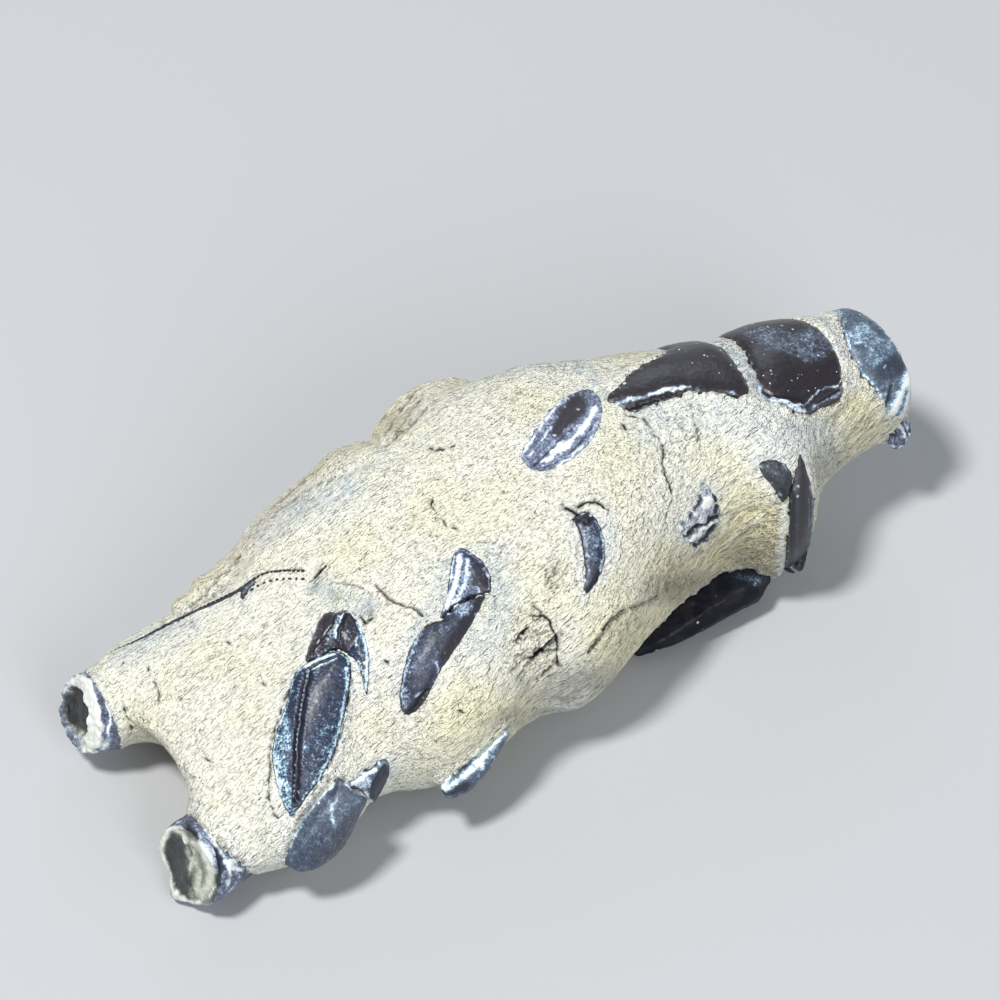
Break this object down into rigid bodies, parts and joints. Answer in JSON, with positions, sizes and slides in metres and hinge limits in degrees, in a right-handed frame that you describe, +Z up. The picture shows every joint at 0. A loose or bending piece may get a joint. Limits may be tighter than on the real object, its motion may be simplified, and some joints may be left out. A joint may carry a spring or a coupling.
{
  "type": "fossil lobster nodule",
  "caption": "Long rounded cream stone nodule with a fossil mud lobster inside, its dark glossy shell plates and limbs showing on the upper side; lies flat for display.",
  "frame": {"origin": "centre of the bounding box at the bottom, on the surface that the nodule rests on", "axes": "+X from the two claw arms to the tail, along the nodule; +Z up; the display side faces up and towards -Y"},
  "size_m": [0.1144, 0.0508, 0.0329],
  "materials": {
    "cream_stone": "matt, fine sandy grain",
    "dark_shell": "polished blue-black shell",
    "brown_shell": "polished brown-black shell"
  },
  "bodies": {
    "root": {"matrix": "cream_stone", "abdomen_plate_1": "brown_shell", "abdomen_plate_2": "brown_shell", "abdomen_plate_3": "brown_shell", "tail_chip": "dark_shell", "claw_stump_far": "dark_shell", "claw_stump_near": "dark_shell", "pincer_palm": "dark_shell", "pincer_wrist": "dark_shell", "pincer_spur": "dark_shell", "edge_leg_shin": "dark_shell", "edge_leg_foot": "dark_shell", "front_leg_thigh": "dark_shell", "front_leg_shin": "dark_shell", "rim_leg": "dark_shell", "side_plate": "dark_shell", "swimming_leg": "dark_shell", "leg_stub": "dark_shell", "rear_leg_knee": "dark_shell", "rear_leg_shin": "dark_shell", "under_claw": "dark_shell", "feeler": "dark_shell"}
  },
  "joints": []
}
